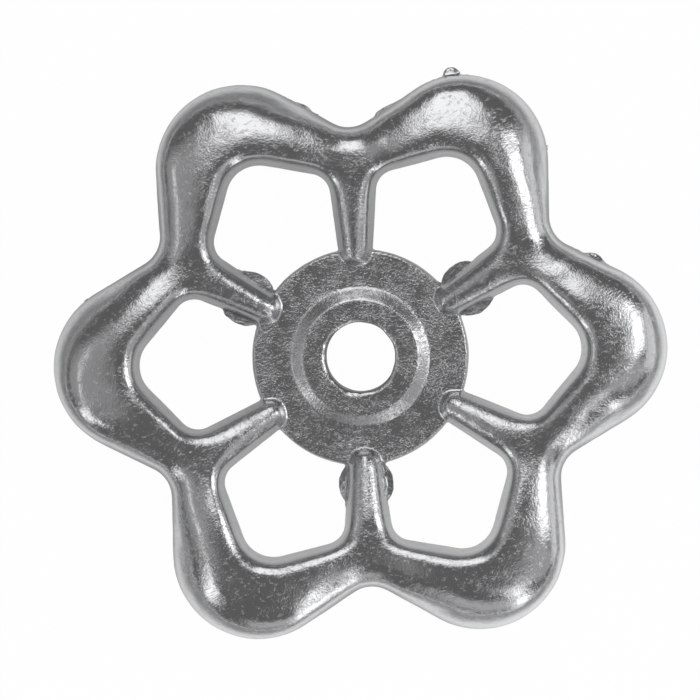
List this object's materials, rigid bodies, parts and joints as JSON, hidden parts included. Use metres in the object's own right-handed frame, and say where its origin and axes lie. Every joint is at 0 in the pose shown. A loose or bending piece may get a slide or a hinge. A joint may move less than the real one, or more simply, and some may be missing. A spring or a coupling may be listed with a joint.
{
  "type": "valve handle",
  "caption": "Lobed die-cast handwheel for a valve stem, with a dished front, tapered spokes, a flanged hub with a raised boss, and a plain round bore.",
  "frame": {"origin": "centre of the hub's back face, on the axis of the bore, which is where the wheel rests", "axes": "+Z along the bore axis, out of the front of the wheel; +X through the middle of one lobe; the spokes lie at 30 degrees from X and every 60 degrees after"},
  "size_m": [0.07, 0.0641, 0.013],
  "materials": {
    "die_cast_aluminium": "as-cast, unpainted, satin with fine casting texture"
  },
  "bodies": {
    "root": {"valve_handle": "die_cast_aluminium"}
  },
  "joints": []
}
